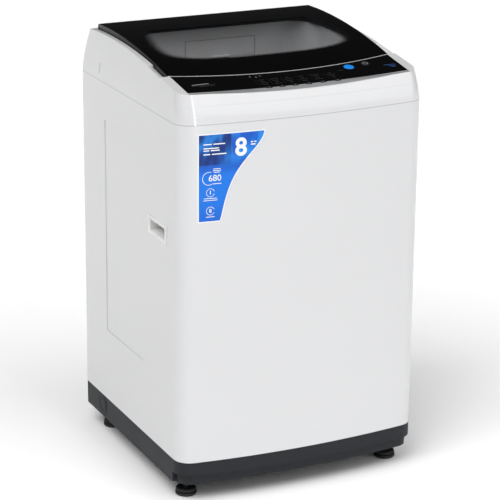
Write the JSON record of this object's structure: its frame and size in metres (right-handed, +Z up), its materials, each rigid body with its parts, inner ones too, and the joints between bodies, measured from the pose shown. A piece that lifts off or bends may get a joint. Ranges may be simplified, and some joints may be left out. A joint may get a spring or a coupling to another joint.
{
  "type": "top load washing machine",
  "caption": "Top load washing machine: white steel cabinet, curved smoked glass lid on a rear hinge, sloping touch fascia, hung tub with spinning basket and pulsator.",
  "frame": {"origin": "on the floor under the middle of the cabinet", "axes": "+Z up, the front with the fascia towards -Y, +X to the right when facing the front"},
  "size_m": [0.542, 0.53, 0.8993],
  "materials": {
    "cabinet_paint": "satin",
    "galvanised_sheet": "satin",
    "screw_steel": "satin",
    "base_plastic": "matte",
    "foot_plastic": "matte",
    "white_plastic": "satin",
    "grip_plastic": "satin",
    "fascia_gloss": "gloss",
    "silver_trim": "satin",
    "board_green": "satin",
    "button_black": "satin",
    "button_blue": "gloss",
    "lid_smoked_glass": "gloss",
    "lid_dark_frame": "satin",
    "pin_steel": "polished",
    "soft_rubber": "matte",
    "drawer_plastic": "satin",
    "valve_plastic": "satin",
    "tub_plastic": "satin",
    "spring_steel": "satin",
    "basket_steel": "polished",
    "ring_plastic": "satin",
    "hub_aluminium": "satin",
    "pulsator_plastic": "satin",
    "motor_paint": "satin",
    "gearbox_steel": "satin",
    "pulley_aluminium": "satin",
    "belt_rubber": "matte",
    "hose_rubber": "matte",
    "pump_plastic": "satin"
  },
  "bodies": {
    "cabinet": {"cabinet_shell": "cabinet_paint", "rear_panel": "galvanised_sheet", "cabinet_screws": "screw_steel", "base_frame": "base_plastic", "drain_knockout": "base_plastic", "foot_lock_nuts": "screw_steel", "side_grip_left": "grip_plastic", "side_grip_right": "grip_plastic", "top_frame": "white_plastic", "control_fascia": "fascia_gloss", "panel_trim": "silver_trim", "seam_trim": "silver_trim", "control_board": "board_green", "drawer_housing": "white_plastic", "inlet_valve": "valve_plastic", "inlet_hose": "hose_rubber", "pressure_sensor": "valve_plastic", "pressure_tube": "hose_rubber", "suspension_brackets": "galvanised_sheet", "suspension_rods": "spring_steel", "suspension_springs": "spring_steel", "drain_pump": "pump_plastic", "drain_bellows": "hose_rubber", "drain_hose": "hose_rubber", "drain_outlet": "pump_plastic", "cord_gland": "pump_plastic"},
    "foot_front_left": {"foot_front_left": "foot_plastic"},
    "foot_front_right": {"foot_front_right": "foot_plastic"},
    "foot_rear_left": {"foot_rear_left": "foot_plastic"},
    "foot_rear_right": {"foot_rear_right": "foot_plastic"},
    "lid": {"lid_glass": "lid_smoked_glass", "lid_frame": "lid_dark_frame", "lid_hinge_pins": "pin_steel", "lid_bumpers": "soft_rubber"},
    "start_button": {"start_button": "button_blue"},
    "power_button": {"power_button": "button_black"},
    "program_button_1": {"program_button_1": "button_black"},
    "program_button_2": {"program_button_2": "button_black"},
    "program_button_3": {"program_button_3": "button_black"},
    "program_button_4": {"program_button_4": "button_black"},
    "program_button_5": {"program_button_5": "button_black"},
    "program_button_6": {"program_button_6": "button_black"},
    "detergent_drawer": {"detergent_drawer": "drawer_plastic"},
    "tub": {"outer_tub": "tub_plastic", "tub_cover": "tub_plastic", "tub_mount_plate": "galvanised_sheet", "gearbox": "gearbox_steel", "drive_motor": "motor_paint", "drive_belt": "belt_rubber"},
    "basket": {"wash_basket": "basket_steel", "balance_ring": "ring_plastic", "basket_hub": "hub_aluminium", "lint_filter": "pulsator_plastic"},
    "pulsator": {"pulsator": "pulsator_plastic", "pulsator_screw": "screw_steel", "pulsator_shaft": "pin_steel"},
    "drive_pulley": {"drive_pulley": "pulley_aluminium"},
    "motor_pulley": {"motor_pulley": "pulley_aluminium"},
    "pump_impeller": {"pump_impeller": "pump_plastic"}
  },
  "joints": [
    {"name": "foot_front_left_adjust", "type": "slide", "parent": "cabinet", "child": "foot_front_left", "axis": [0, 0, -1], "range_m": [0, 0.012]},
    {"name": "foot_front_right_adjust", "type": "slide", "parent": "cabinet", "child": "foot_front_right", "axis": [0, 0, -1], "range_m": [0, 0.012]},
    {"name": "foot_rear_left_adjust", "type": "slide", "parent": "cabinet", "child": "foot_rear_left", "axis": [0, 0, -1], "range_m": [0, 0.012]},
    {"name": "foot_rear_right_adjust", "type": "slide", "parent": "cabinet", "child": "foot_rear_right", "axis": [0, 0, -1], "range_m": [0, 0.012]},
    {"name": "lid_hinge", "type": "hinge", "parent": "cabinet", "child": "lid", "pos_m": [0, 0.2255, 0.88885], "axis": [-1, 0, 0], "range_deg": [0, 95]},
    {"name": "start_button_press", "type": "slide", "parent": "cabinet", "child": "start_button", "axis": [0, 0.153, -0.9882], "range_m": [0, 0.0015], "stiffness_N_per_m": 800, "springref_m": -0.0005},
    {"name": "power_button_press", "type": "slide", "parent": "cabinet", "child": "power_button", "axis": [0, 0.153, -0.9882], "range_m": [0, 0.0015], "stiffness_N_per_m": 800, "springref_m": -0.0005},
    {"name": "program_button_1_press", "type": "slide", "parent": "cabinet", "child": "program_button_1", "axis": [0, 0.153, -0.9882], "range_m": [0, 0.0015], "stiffness_N_per_m": 800, "springref_m": -0.0005},
    {"name": "program_button_2_press", "type": "slide", "parent": "cabinet", "child": "program_button_2", "axis": [0, 0.153, -0.9882], "range_m": [0, 0.0015], "stiffness_N_per_m": 800, "springref_m": -0.0005},
    {"name": "program_button_3_press", "type": "slide", "parent": "cabinet", "child": "program_button_3", "axis": [0, 0.153, -0.9882], "range_m": [0, 0.0015], "stiffness_N_per_m": 800, "springref_m": -0.0005},
    {"name": "program_button_4_press", "type": "slide", "parent": "cabinet", "child": "program_button_4", "axis": [0, 0.153, -0.9882], "range_m": [0, 0.0015], "stiffness_N_per_m": 800, "springref_m": -0.0005},
    {"name": "program_button_5_press", "type": "slide", "parent": "cabinet", "child": "program_button_5", "axis": [0, 0.153, -0.9882], "range_m": [0, 0.0015], "stiffness_N_per_m": 800, "springref_m": -0.0005},
    {"name": "program_button_6_press", "type": "slide", "parent": "cabinet", "child": "program_button_6", "axis": [0, 0.153, -0.9882], "range_m": [0, 0.0015], "stiffness_N_per_m": 800, "springref_m": -0.0005},
    {"name": "drawer_slide", "type": "slide", "parent": "cabinet", "child": "detergent_drawer", "axis": [0, -1, 0], "range_m": [0, 0.06]},
    {"name": "tub_bounce", "type": "slide", "parent": "cabinet", "child": "tub", "axis": [0, 0, 1], "range_m": [-0.03, 0.007], "stiffness_N_per_m": 20000, "springref_m": 0.01116, "deforming": ["suspension_springs", "drain_bellows", "pressure_tube"]},
    {"name": "basket_spin", "type": "hinge", "parent": "tub", "child": "basket", "pos_m": [0, 0, 0.264], "axis": [0, 0, 1], "continuous": true},
    {"name": "pulsator_spin", "type": "hinge", "parent": "tub", "child": "pulsator", "pos_m": [0, 0, 0.264], "axis": [0, 0, 1], "continuous": true},
    {"name": "drive_pulley_spin", "type": "hinge", "parent": "tub", "child": "drive_pulley", "pos_m": [0, 0, 0.146], "axis": [0, 0, 1], "continuous": true},
    {"name": "motor_pulley_spin", "type": "hinge", "parent": "tub", "child": "motor_pulley", "pos_m": [0, 0.158, 0.146], "axis": [0, 0, 1], "continuous": true},
    {"name": "pump_spin", "type": "hinge", "parent": "cabinet", "child": "pump_impeller", "pos_m": [-0.122, -0.062, 0.107], "axis": [0, 0, 1], "continuous": true}
  ],
  "couplings": [
    {"joint": "drive_pulley_spin", "follows": "pulsator_spin", "ratio": 4},
    {"joint": "motor_pulley_spin", "follows": "pulsator_spin", "ratio": 18.25}
  ]
}
